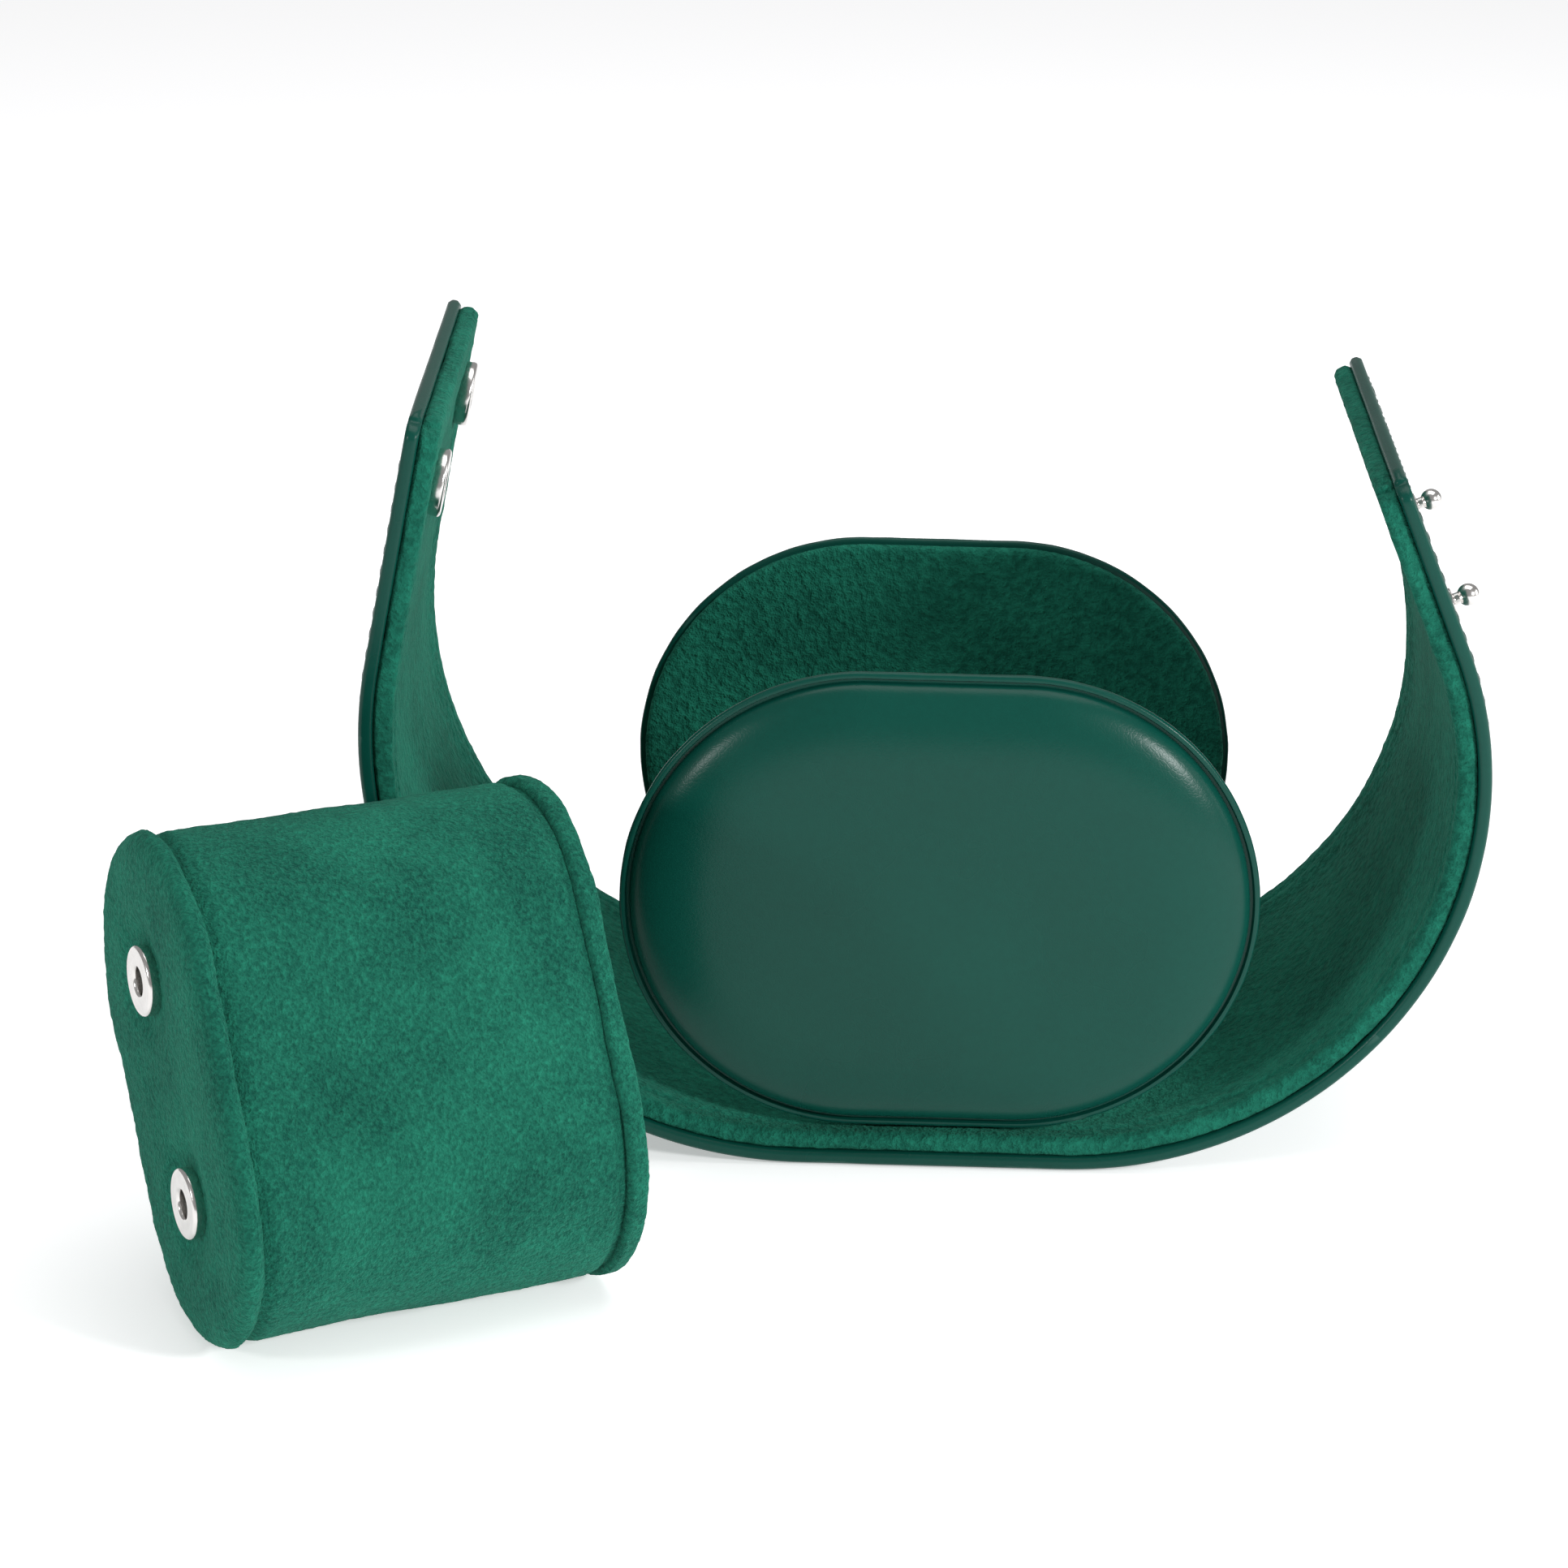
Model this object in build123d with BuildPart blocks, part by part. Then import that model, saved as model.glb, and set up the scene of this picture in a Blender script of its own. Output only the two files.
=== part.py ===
"""Travel roll case: a leather wrap with two end panels, closed by a pair of ball snaps,
and a loose suede cushion that carries a watch or a bracelet.

Millimetres. The origin is on the floor under the middle of the wrap's flat bottom,
+X to the right arm of the wrap, +Y towards the back panel, +Z up.
The wrap is drawn open, with the cushion taken out and lying in front of it.
"""

import os
from math import asin, cos, radians, sin, tan

from build123d import *

os.makedirs("parts", exist_ok=True)

# end panels: two padded discs with straight top and bottom
panel_width = 100.0
panel_height = 76.0
pad_thickness = 2.4            # leather face over a thin pad
board_thickness = 1.4
suede_thickness = 1.2
panel_inset = 0.6              # from the wrap's long edge to the panel's outer face
pad_edge_radius = 1.8
suede_edge_radius = 0.9
seat_gap = 0.5                 # between the panel's rim and the wrap's lining

# wrap: one long strip, leather outside and padded suede inside
wrap_width = 76.0
leather_thickness = 2.2
lining_thickness = 3.0
lining_inset = 0.4             # the suede stops just short of the leather's long edges
right_open_radius = 63.6       # of the leather's outer face, as the arms stand open
left_open_radius = 69.5
right_open_turn = 113.0        # degrees from the flat bottom to the straight end of the arm
left_open_turn = 100.0
crease_count = 6               # places along each arm where the strip bends when it closes
crease_gap = 0.3               # between two lengths of the strip, on the suede side
open_play = 5.0                # degrees that a crease can bend back
corner_radius = 4.0            # at the free end of each arm

# ball snaps: studs on one side, spring sockets on the other
ball_diameter = 3.5
ball_height = 2.7              # from the face that it stands on to the ball's centre
ball_clearance = 0.35          # on the radius, in the ring's hole
ball_headroom = 0.2            # over the ball, in the cup
neck_diameter = 1.9
flange_clearance = 0.1         # on the radius, in the ring's hole
flange_thickness = 0.4
washer_diameter = 8.0
washer_thickness = 0.5
ring_rim = 3.2                 # from the ring's hole to its outside
ring_thickness = 1.8
ring_edge_radius = 0.5
cup_wall = 1.0
cup_floor = 0.25
wire_diameter = 0.4            # of the spring inside each cup
wire_clearance = 0.05          # between the spring and the cup's wall
hole_clearance = 0.1           # on the radius, round a post, a washer or a cup
snap_clearance = 0.3           # between a ring and the face that its stud stands on
strap_snap_spacing = 50.0      # across the wrap
stud_past_bend = 4.5           # along the right arm, from the bend's end
stud_from_end = 24.5
socket_from_end = 12.5
cushion_snap_spacing = 33.0
cushion_snap_sink = 0.6        # the rings sit in a dimple of the cap

# cushion: a suede sleeve with two end caps over a foam core, loose in front of the wrap
cushion_long = 75.0            # its section is a slot with round ends
cushion_short = 45.0
cushion_play = 0.4             # between the panels, when it is snapped in
cap_floor = 0.2                # between the cups and the cap's board
cap_overhang = 0.6             # the caps stand proud of the sleeve
cap_edge_radius = 1.4
cap_board_thickness = 1.0
sleeve_thickness = 1.5
sleeve_fit = 0.1
cushion_spin = 27.0            # degrees on the floor, from +X to its length
cushion_lean = 32.0            # degrees that it leans back
cushion_x = -84.0
cushion_standoff = 0.5         # from the wrap's front edge

# hinge tapes that hold the panels' feet to the lining
tape_length = 22.0
tape_width = 7.0
tape_thickness = 0.4
tape_gap = 0.3

wrap_thickness = leather_thickness + lining_thickness
panel_thickness = pad_thickness + board_thickness + suede_thickness
panel_flat = (panel_width - panel_height) / 2
panel_bottom = wrap_thickness + seat_gap
panel_middle = panel_bottom + panel_height / 2
panel_face = wrap_width / 2 - panel_inset
panel_inside = panel_face - panel_thickness
cushion_length = 2 * panel_inside - (ring_thickness - cushion_snap_sink) - cushion_play

ring_hole_diameter = ball_diameter + 2 * ball_clearance
ring_diameter = ring_hole_diameter + 2 * ring_rim
flange_diameter = ring_hole_diameter - 2 * flange_clearance
cup_bore = ring_hole_diameter + 2 * wire_diameter
cup_diameter = cup_bore + 2 * cup_wall
ball_reach = ball_height + ball_diameter / 2 - snap_clearance - ring_thickness
cup_depth = ball_reach + ball_headroom + cup_floor
cap_thickness = cushion_snap_sink + cup_depth + cap_floor


# ---------------------------------------------------------------- the closed path
# Closed, the suede face of each arm goes round the panels on a path of straight chords,
# one for each crease, every chord turned by the same step. Each chord is given by its
# distance from the panel's round end, and the left arm rises over the right one.

chord_step = radians(180 / crease_count)


def reach(near, far):
    """How far along a chord, from its nearest point to the centre, the next chord crosses it."""
    return (far - near * cos(chord_step)) / sin(chord_step)


def closed_chords(open_radius, lift):
    """Distances of the bottom and of each chord from the centre of the panel's round end."""
    bottom = panel_height / 2 + seat_gap
    chord = 2 * bottom * sin(chord_step / 2)
    bulge = chord**2 / (8 * (open_radius - wrap_thickness))
    chords = [bottom]
    for crease in range(1, crease_count + 1):
        rise = max(0.0, sin(crease * chord_step - radians(90)))
        chords.append(bottom - bulge + lift * rise)
    return chords


class Arm:
    """One arm of the wrap: where it creases, and where its points lie when it stands open."""

    def __init__(self, side, open_radius, open_turn, lift):
        self.side = side
        self.radius = open_radius - wrap_thickness
        self.turn = radians(open_turn)
        self.chords = closed_chords(open_radius, lift)
        self.start = panel_flat + reach(self.chords[0], self.chords[1])
        self.bend_end = self.start + self.radius * self.turn
        self.creases = [self.start]
        for near, chord, far in zip(self.chords, self.chords[1:], self.chords[2:]):
            straight = reach(chord, far) + reach(chord, near)
            self.creases.append(self.creases[-1] + self.along(straight))
        self.straight_start = max(self.bend_end, self.creases[-1])
        self.end = self.straight_start

    def along(self, chord):
        """Length of strip whose ends are a chord apart on the open bend."""
        return 2 * self.radius * asin(chord / (2 * self.radius))

    def tip_turn(self):
        """Angle of the open bend that is left past the last crease."""
        return (self.straight_start - self.creases[-1]) / self.radius

    def tip_rise(self):
        """How far the straight end of the closed arm lies above the last crease."""
        return self.radius * (1 - cos(self.tip_turn()))

    def tip_start(self):
        """How far from the middle the straight end of the closed arm starts."""
        last_crease = panel_flat + reach(self.chords[-1], self.chords[-2])
        return last_crease - self.radius * sin(self.tip_turn())

    def angle(self, place):
        """Direction of the strip at a distance along it, measured from the middle of the wrap."""
        bent = min(max(place, self.start), self.bend_end) - self.start
        return bent / self.radius

    def point(self, place, depth):
        """Point at a distance along the strip, and a depth outwards from its suede face."""
        angle = self.angle(place)
        beyond = max(place - self.bend_end, 0.0)
        x = min(place, self.start) + (self.radius + depth) * sin(angle) + beyond * cos(angle)
        z = wrap_thickness + self.radius - (self.radius + depth) * cos(angle) + beyond * sin(angle)
        return (self.side * x, z)

    def seat(self, place, across, depth, inward):
        """Plane on the strip, for a snap: its z points in to the suede side, or out."""
        x, z = self.point(place, depth)
        angle = self.angle(place)
        along = Vector(self.side * cos(angle), 0, sin(angle))
        out = Vector(self.side * sin(angle), 0, -cos(angle))
        return Plane(origin=(x, across, z), x_dir=along, z_dir=-out if inward else out)


# The right arm closes first. Its studs stand in the straight end of the arm. The left arm
# closes over it, as high as the rings and the snaps need.
right_arm = Arm(1, right_open_radius, right_open_turn, 0.0)
stud_place = right_arm.straight_start + stud_past_bend
right_arm.end = stud_place + stud_from_end

left_lift = right_arm.tip_rise() + wrap_thickness + snap_clearance + ring_thickness
left_arm = Arm(-1, left_open_radius, left_open_turn, left_lift)
snap_x = right_arm.tip_start() - stud_past_bend
socket_place = left_arm.straight_start + snap_x + left_arm.tip_start()
left_arm.end = socket_place + socket_from_end


# ---------------------------------------------------------------- shapes that repeat


def crease_shift(depth):
    """Half the gap at a crease, at a depth outwards from the suede face."""
    return crease_gap / 2 + depth * tan(radians(open_play / 2))


def strip_edge(arm, near, far, depth):
    """One long edge of a length of strip, round the open bend and then straight."""
    bend_far = min(far, arm.bend_end)
    if near < bend_far:
        middle = (near + bend_far) / 2
        ThreePointArc(arm.point(near, depth), arm.point(middle, depth), arm.point(bend_far, depth))
    if far > max(near, arm.bend_end):
        Line(arm.point(max(near, arm.bend_end), depth), arm.point(far, depth))


def strip_outline(arm, number, inner, outer):
    """Side view of one length of an arm, between two depths, from one crease to the next."""
    near = arm.creases[number - 1]
    is_tip = number == crease_count
    far = arm.end if is_tip else arm.creases[number]
    with BuildLine() as outline:
        corners = []
        for depth in (inner, outer):
            first = near + crease_shift(depth)
            last = far if is_tip else far - crease_shift(depth)
            strip_edge(arm, first, last, depth)
            corners.append((arm.point(first, depth), arm.point(last, depth)))
        Line(corners[0][0], corners[1][0])
        Line(corners[0][1], corners[1][1])
    return outline.line


def base_outline(inner, outer):
    """Side view of the flat bottom, between the first crease of each arm."""
    with BuildLine() as outline:
        corners = []
        for arm, depth in ((left_arm, inner), (right_arm, inner), (right_arm, outer), (left_arm, outer)):
            corners.append(arm.point(arm.start - crease_shift(depth), depth))
        Polyline(*corners, close=True)
    return outline.line


def slot_plate(plane, width, height, thickness):
    """Plate with a slot outline, standing on a plane."""
    with BuildPart() as plate:
        with BuildSketch(plane):
            SlotOverall(width, height)
        extrude(amount=thickness)
    return plate.part


def make_rings(seats, sink):
    """Polished rings of the sockets, each standing on its seat or sunk into it."""
    with BuildPart() as rings:
        for seat in seats:
            with BuildSketch(seat.offset(-sink)):
                Circle(ring_diameter / 2)
                Circle(ring_hole_diameter / 2, mode=Mode.SUBTRACT)
            extrude(amount=ring_thickness)
        rims = rings.edges().filter_by(GeomType.CIRCLE).filter_by(lambda rim: rim.radius > cup_diameter / 2)
        fillet(rims, ring_edge_radius)
    return rings.part


def make_cups(seats, sink):
    """Cups of the sockets, let into the suede behind the rings."""
    with BuildPart() as cups:
        for seat in seats:
            with BuildSketch(seat.offset(-sink)):
                Circle(cup_diameter / 2)
            extrude(amount=-cup_depth)
            with BuildSketch(seat.offset(-sink)):
                Circle(cup_bore / 2)
            extrude(amount=cup_floor - cup_depth, mode=Mode.SUBTRACT)
    return cups.part


def make_springs(seats, sink):
    """Wire rings that snap over the balls, one in each cup, just behind its ring."""
    wire_radius = wire_diameter / 2
    with BuildPart() as springs:
        for seat in seats:
            with Locations(seat.offset(-sink - wire_diameter)):
                Torus(cup_bore / 2 - wire_radius - wire_clearance, wire_radius)
    return springs.part


def make_studs(seats, post_length):
    """Ball studs: a ball on a neck and a flange, with a post down through what holds it."""
    with BuildPart() as studs:
        for seat in seats:
            with BuildSketch(seat):
                Circle(flange_diameter / 2)
            extrude(amount=flange_thickness)
            with BuildSketch(seat.offset(-post_length)):
                Circle(neck_diameter / 2)
            extrude(amount=post_length + ball_height)
            with Locations(seat.offset(ball_height)):
                Sphere(ball_diameter / 2)
    return studs.part


def make_washers(seats, post_length):
    """Washers under the studs, with each post's end riveted in its hole."""
    with BuildPart() as washers:
        for seat in seats:
            with BuildSketch(seat.offset(-post_length)):
                Circle(washer_diameter / 2)
                Circle(neck_diameter / 2 + hole_clearance, mode=Mode.SUBTRACT)
            extrude(amount=washer_thickness)
    return washers.part


def drill(seats, radius, top, depth):
    """Round holes into the part being built, down from a height over each seat."""
    with Locations(*[seat.offset(top) for seat in seats]):
        from_top = (Align.CENTER, Align.CENTER, Align.MAX)
        Cylinder(radius, depth, align=from_top, mode=Mode.SUBTRACT)


def save(part, name):
    part.label = name
    export_step(part, f"parts/{name}.step")


# ---------------------------------------------------------------- snaps
snap_rows = (-strap_snap_spacing / 2, strap_snap_spacing / 2)
strap_studs = [right_arm.seat(stud_place, row, wrap_thickness, False) for row in snap_rows]
strap_sockets = [left_arm.seat(socket_place, row, 0, True) for row in snap_rows]
strap_post = leather_thickness + washer_thickness

panel_studs = []
for x in (-cushion_snap_spacing / 2, cushion_snap_spacing / 2):
    panel_studs.append(Plane(origin=(x, panel_inside, panel_middle), x_dir=(1, 0, 0), z_dir=(0, -1, 0)))
panel_post = suede_thickness + board_thickness

save(make_studs(strap_studs, strap_post), "strap_snap_studs")
save(make_washers(strap_studs, strap_post), "strap_stud_washers")
save(make_rings(strap_sockets, 0), "strap_snap_rings")
save(make_cups(strap_sockets, 0), "strap_snap_cups")
save(make_springs(strap_sockets, 0), "strap_snap_springs")
save(make_studs(panel_studs, panel_post), "panel_snap_studs")
save(make_washers(panel_studs, panel_post), "panel_stud_washers")

# ---------------------------------------------------------------- wrap, flat bottom
with BuildPart() as base_leather:
    with BuildSketch(Plane.XZ):
        add(base_outline(lining_thickness, wrap_thickness))
        make_face()
    extrude(amount=wrap_width / 2, both=True)
save(base_leather.part, "base_leather")

with BuildPart() as base_lining:
    with BuildSketch(Plane.XZ):
        add(base_outline(0, lining_thickness))
        make_face()
    extrude(amount=wrap_width / 2 - lining_inset, both=True)
save(base_lining.part, "base_lining")

# ---------------------------------------------------------------- wrap, arms
for arm_name, arm in (("left_arm", left_arm), ("right_arm", right_arm)):
    for number in range(1, crease_count):
        with BuildPart() as leather:
            with BuildSketch(Plane.XZ):
                add(strip_outline(arm, number, lining_thickness, wrap_thickness))
                make_face()
            extrude(amount=wrap_width / 2, both=True)
        save(leather.part, f"{arm_name}_leather_{number}")

        with BuildPart() as lining:
            with BuildSketch(Plane.XZ):
                add(strip_outline(arm, number, 0, lining_thickness))
                make_face()
            extrude(amount=wrap_width / 2 - lining_inset, both=True)
        save(lining.part, f"{arm_name}_lining_{number}")


def tip_layer(arm, inner, outer, width):
    """One layer of an arm's free end, with its two corners rounded."""
    with BuildPart() as layer:
        with BuildSketch(Plane.XZ):
            add(strip_outline(arm, crease_count, inner, outer))
            make_face()
        extrude(amount=width / 2, both=True)
        x, z = arm.point(arm.end, (inner + outer) / 2)
        end_face = layer.faces().filter_by(GeomType.PLANE).sort_by_distance((x, 0, z))[0]
        fillet(end_face.edges().filter_by(Axis.Y, reverse=True), corner_radius)
    return layer.part


post_hole = neck_diameter / 2 + hole_clearance
cup_hole = cup_diameter / 2 + hole_clearance
washer_hole = washer_diameter / 2 + hole_clearance
lining_width = wrap_width - 2 * lining_inset

# the sockets' cups are let into the left arm's suede, and its leather covers them
with BuildPart() as left_tip_leather:
    add(tip_layer(left_arm, lining_thickness, wrap_thickness, wrap_width))
    drill(strap_sockets, cup_hole, ring_thickness, ring_thickness + cup_depth)
save(left_tip_leather.part, f"left_arm_leather_{crease_count}")

with BuildPart() as left_tip_lining:
    add(tip_layer(left_arm, 0, lining_thickness, lining_width))
    drill(strap_sockets, cup_hole, ring_thickness, ring_thickness + cup_depth)
save(left_tip_lining.part, f"left_arm_lining_{crease_count}")

# the studs' posts go through the right arm's leather to washers under it
with BuildPart() as right_tip_leather:
    add(tip_layer(right_arm, lining_thickness, wrap_thickness, wrap_width))
    drill(strap_studs, post_hole, ball_height, ball_height + strap_post)
save(right_tip_leather.part, f"right_arm_leather_{crease_count}")

with BuildPart() as right_tip_lining:
    add(tip_layer(right_arm, 0, lining_thickness, lining_width))
    drill(strap_studs, washer_hole, ball_height, ball_height + strap_post)
save(right_tip_lining.part, f"right_arm_lining_{crease_count}")


# ---------------------------------------------------------------- end panels
def panel_plane(side, inside):
    """Plane of a panel's layer, facing out, at a distance from the panel's inner face."""
    y = side * (panel_inside + inside)
    return Plane(origin=(0, y, panel_middle), x_dir=(-side, 0, 0), z_dir=(0, side, 0))


def panel_layer(side, inside, thickness, edge_radius, faces_out):
    """One layer of a panel, with the rim of its outer or its inner face rounded."""
    with BuildPart() as layer:
        add(slot_plate(panel_plane(side, inside), panel_width, panel_height, thickness))
        faces = layer.faces().sort_by(Axis.Y)
        rim_face = faces[-1] if (side > 0) == faces_out else faces[0]
        fillet(rim_face.edges(), edge_radius)
    return layer.part


for side, panel_name in ((-1, "front_panel"), (1, "back_panel")):
    with BuildPart() as suede:
        add(panel_layer(side, 0, suede_thickness, suede_edge_radius, False))
        if side > 0:
            drill(panel_studs, post_hole, ball_height, ball_height + panel_post)
    save(suede.part, f"{panel_name}_suede")

    with BuildPart() as board:
        add(slot_plate(panel_plane(side, suede_thickness), panel_width, panel_height, board_thickness))
        if side > 0:
            drill(panel_studs, post_hole, ball_height, ball_height + panel_post)
            drill(panel_studs, washer_hole, washer_thickness - panel_post, washer_thickness)
    save(board.part, f"{panel_name}_board")

    with BuildPart() as pad:
        add(panel_layer(side, suede_thickness + board_thickness, pad_thickness, pad_edge_radius, True))
    save(pad.part, f"{panel_name}_leather")

    with BuildPart() as tape:
        with Locations((0, side * (panel_inside - tape_gap - tape_width / 2), wrap_thickness)):
            Box(tape_length, tape_width, tape_thickness, align=(Align.CENTER, Align.CENTER, Align.MIN))
        fillet(tape.edges().filter_by(Axis.Z), 1.0)
    save(tape.part, f"{panel_name}_hinge_tape")

# ---------------------------------------------------------------- cushion
# Its frame: z along its length towards the plain cap, x along the long way of its section.
spin = radians(cushion_spin)
lean = radians(cushion_lean)
cushion_axis = Vector(cos(spin), sin(spin), 0)
long_way = Vector(-sin(lean) * sin(spin), sin(lean) * cos(spin), cos(lean))
cap_long = cushion_long + 2 * cap_overhang
cap_short = cushion_short + 2 * cap_overhang
cushion_z = (cap_long - cap_short) / 2 * cos(lean) + cap_short / 2
cushion_back = (cap_long - cap_short) / 2 * sin(lean) + cap_short / 2
cushion_reach = cushion_length / 2 * sin(spin) + cushion_back * cos(spin)
cushion_y = -wrap_width / 2 - cushion_standoff - cushion_reach
cushion_plane = Plane(origin=(cushion_x, cushion_y, cushion_z), x_dir=long_way, z_dir=cushion_axis)
seam = cushion_length / 2 - cap_thickness
snap_cap_plane = cushion_plane.offset(-cushion_length / 2)
core_end = seam - cap_board_thickness

with BuildPart() as cushion_sleeve:
    with BuildSketch(cushion_plane.offset(-seam)):
        SlotOverall(cushion_long, cushion_short)
        inner_long = cushion_long - 2 * sleeve_thickness
        inner_short = cushion_short - 2 * sleeve_thickness
        SlotOverall(inner_long, inner_short, mode=Mode.SUBTRACT)
    extrude(amount=2 * seam)
save(cushion_sleeve.part, "cushion_sleeve")

core_long = inner_long - 2 * sleeve_fit
core_short = inner_short - 2 * sleeve_fit
save(slot_plate(cushion_plane.offset(-core_end), core_long, core_short, 2 * core_end), "cushion_core")
for end, board_plane in (("snap", cushion_plane.offset(-seam)), ("plain", cushion_plane.offset(core_end))):
    board = slot_plate(board_plane, core_long, core_short, cap_board_thickness)
    save(board, f"cushion_{end}_cap_board")

cap_seat = Plane(origin=snap_cap_plane.origin, x_dir=long_way, z_dir=-cushion_axis)
cushion_sockets = []
for along in (-cushion_snap_spacing / 2, cushion_snap_spacing / 2):
    origin = cap_seat.origin + long_way * along
    cushion_sockets.append(Plane(origin=origin, x_dir=long_way, z_dir=-cushion_axis))

with BuildPart() as snap_cap:
    add(slot_plate(snap_cap_plane, cap_long, cap_short, cap_thickness))
    outer_face = snap_cap.faces().sort_by_distance(snap_cap_plane.origin)[0]
    fillet(outer_face.edges(), cap_edge_radius)
    ring_hole = ring_diameter / 2 + hole_clearance
    drill(cushion_sockets, ring_hole, ring_thickness, ring_thickness + cushion_snap_sink)
    drill(cushion_sockets, cup_hole, 0, cushion_snap_sink + cup_depth)
save(snap_cap.part, "cushion_snap_cap")

with BuildPart() as plain_cap:
    add(slot_plate(cushion_plane.offset(seam), cap_long, cap_short, cap_thickness))
    outer_face = plain_cap.faces().sort_by_distance(cushion_plane.offset(cushion_length / 2).origin)[0]
    fillet(outer_face.edges(), cap_edge_radius)
save(plain_cap.part, "cushion_plain_cap")

save(make_rings(cushion_sockets, cushion_snap_sink), "cushion_snap_rings")
save(make_cups(cushion_sockets, cushion_snap_sink), "cushion_snap_cups")
save(make_springs(cushion_sockets, cushion_snap_sink), "cushion_snap_springs")
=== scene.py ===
"""Travel roll case in Blender: a leather wrap lined with suede, two end panels, ball snaps
and a loose suede cushion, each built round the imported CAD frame. All lengths are in metres."""

import math

import bmesh
import bpy
from mathutils import Matrix, Vector


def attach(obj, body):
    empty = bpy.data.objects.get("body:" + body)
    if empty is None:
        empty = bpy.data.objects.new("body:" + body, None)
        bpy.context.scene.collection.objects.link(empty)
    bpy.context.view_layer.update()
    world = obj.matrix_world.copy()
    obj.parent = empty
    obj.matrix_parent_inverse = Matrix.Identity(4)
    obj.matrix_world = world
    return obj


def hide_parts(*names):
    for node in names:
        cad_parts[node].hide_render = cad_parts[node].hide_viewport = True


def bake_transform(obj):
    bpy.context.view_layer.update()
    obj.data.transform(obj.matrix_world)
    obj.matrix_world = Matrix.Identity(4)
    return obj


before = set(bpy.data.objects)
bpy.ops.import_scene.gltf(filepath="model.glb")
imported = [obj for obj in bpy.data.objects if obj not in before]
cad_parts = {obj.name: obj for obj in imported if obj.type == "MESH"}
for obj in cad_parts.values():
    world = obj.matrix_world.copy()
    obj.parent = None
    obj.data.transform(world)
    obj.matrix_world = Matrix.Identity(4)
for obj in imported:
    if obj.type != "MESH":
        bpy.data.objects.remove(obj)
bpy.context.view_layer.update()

# ---------------------------------------------------------------- studio
# A white sweep under one broad soft box overhead. A small box stands low at each side of the
# camera and draws the gloss on the leather, and a broad one fills in from the right. The
# camera looks slightly down on the case from the front.
scene = bpy.context.scene
scene.view_settings.view_transform = "Standard"
scene.view_settings.look = "None"

camera_place = (-0.01798, -0.69658, 0.31192)
camera_pan = 0.0101
camera_tilt = math.radians(90) - 0.3595
camera_roll = 0.0228
camera_data = bpy.data.cameras.new("camera")
camera_data.sensor_width = 36
camera_data.lens = 105.05
camera_data.clip_start = 0.05
camera_data.clip_end = 20
camera = bpy.data.objects.new("camera", camera_data)
scene.collection.objects.link(camera)
camera_turn = Matrix.Rotation(camera_pan, 4, "Z") @ Matrix.Rotation(camera_tilt, 4, "X")
camera.matrix_world = Matrix.Translation(camera_place) @ camera_turn @ Matrix.Rotation(camera_roll, 4, "Z")
scene.camera = camera

studio_world = bpy.data.worlds.new("studio_world")
studio_world.use_nodes = True
daylight = studio_world.node_tree.nodes["Background"]
daylight.inputs["Color"].default_value = (1, 1, 1, 1)
daylight.inputs["Strength"].default_value = 0.36
scene.world = studio_world


def soft_box(name, place, aim, width, height, power):
    """A flat rectangular studio light at a place, turned to face a point."""
    light = bpy.data.lights.new(name, "AREA")
    light.shape = "RECTANGLE"
    light.size = width
    light.size_y = height
    light.energy = power
    lamp = bpy.data.objects.new(name, light)
    scene.collection.objects.link(lamp)
    lamp.location = place
    lamp.rotation_euler = (Vector(aim) - Vector(place)).to_track_quat("-Z", "Y").to_euler()


case_middle = (0, 0, 0.05)
soft_box("top_soft_box", (0.05, 0.1, 0.9), case_middle, 0.8, 0.6, 3.4)
soft_box("right_key", (0.665, -0.58, 0.42), case_middle, 0.15, 0.15, 6.2)
soft_box("left_key", (-0.685, -0.58, 0.38), case_middle, 0.12, 0.12, 1.9)
soft_box("right_fill", (0.9, 0.05, 0.3), case_middle, 0.5, 0.4, 2.0)

# the floor lies just under the stitches on the case's bottom
floor_drop = 0.0003
bpy.ops.mesh.primitive_plane_add(size=6, location=(0, 0, -floor_drop))
floor = bpy.context.object
floor.name = "studio_floor"
paper = bpy.data.materials.new("studio_paper")
paper.use_nodes = True
paper_shader = paper.node_tree.nodes["Principled BSDF"]
paper_shader.inputs["Base Color"].default_value = (0.93, 0.93, 0.94, 1)
paper_shader.inputs["Roughness"].default_value = 0.9
paper_shader.inputs["Specular IOR Level"].default_value = 0.0
paper_shader.inputs["Emission Color"].default_value = (1, 1, 1, 1)
paper_shader.inputs["Emission Strength"].default_value = 0.42
floor.data.materials.append(paper)


# ---------------------------------------------------------------- wrap: hide
# One long strip of dyed calf is the outside of the flat bottom and of both arms. It has a fine
# grain and a satin dressing. It is made flat, cut where the strip turns with the next body,
# and rolled up to the open shape, and its edge is sewn to the lining.
half_width = 0.038
hide_thickness = 0.0022
lining_thickness = 0.0030
strip_thickness = hide_thickness + lining_thickness
tip_corner = 0.003
stitch_inset = 0.0030

# each arm: its side, the radius of its open bend at the suede face, where the bend starts
# along the strip and how far it turns, its free end, its creases and its row of snaps
arms = {
    "right": {
        "side": 1,
        "radius": 0.0584,
        "start": 0.02062,
        "turn": math.radians(113.0),
        "end": 0.16479,
        "creases": (0.02062, 0.04262, 0.0629, 0.08318, 0.10346, 0.12374),
        "snaps": 0.14029,
    },
    "left": {
        "side": -1,
        "radius": 0.0643,
        "start": 0.02077,
        "turn": math.radians(100.0),
        "end": 0.17278,
        "creases": (0.02077, 0.0427, 0.06294, 0.09195, 0.11225, 0.13255),
        "snaps": 0.16028,
    },
}


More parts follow.
